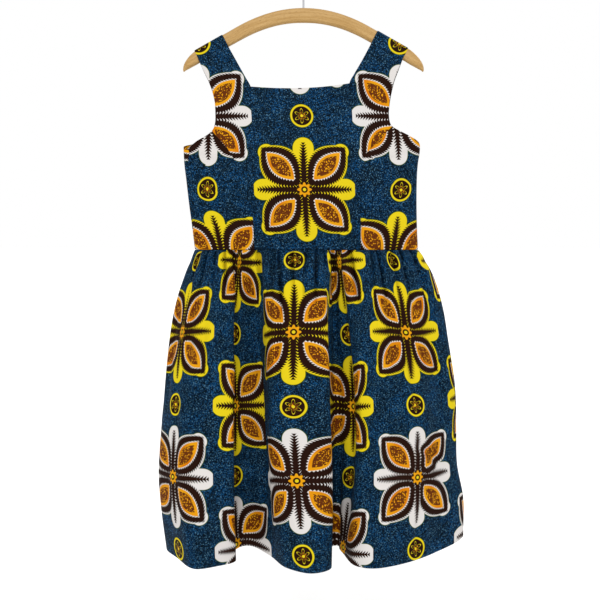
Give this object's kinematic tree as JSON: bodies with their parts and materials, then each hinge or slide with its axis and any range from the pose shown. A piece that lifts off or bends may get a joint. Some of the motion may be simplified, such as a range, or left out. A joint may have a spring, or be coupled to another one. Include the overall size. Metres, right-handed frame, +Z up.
{
  "type": "ankara wax print dress on a wooden hanger",
  "caption": "Sleeveless wax print cotton sundress with a square neck, wide straps and a gathered skirt, hanging on a wooden hanger with a steel hook.",
  "frame": {"origin": "top inside of the hanger's hook, where a rail carries it", "axes": "+X to the right seen from the front of the dress, +Y towards its back, +Z up"},
  "size_m": [0.5893, 0.2224, 1.1129],
  "materials": {
    "wax_print": "plain-weave wax print cotton, crisp, with a slight sheen",
    "wood": "light varnished wood",
    "steel": "bright plated wire"
  },
  "bodies": {
    "root": {"bodice_front": "wax_print", "bodice_back": "wax_print", "skirt_front": "wax_print", "skirt_back": "wax_print", "hanger_arms": "wood", "hanger_hook": "steel"}
  },
  "joints": []
}
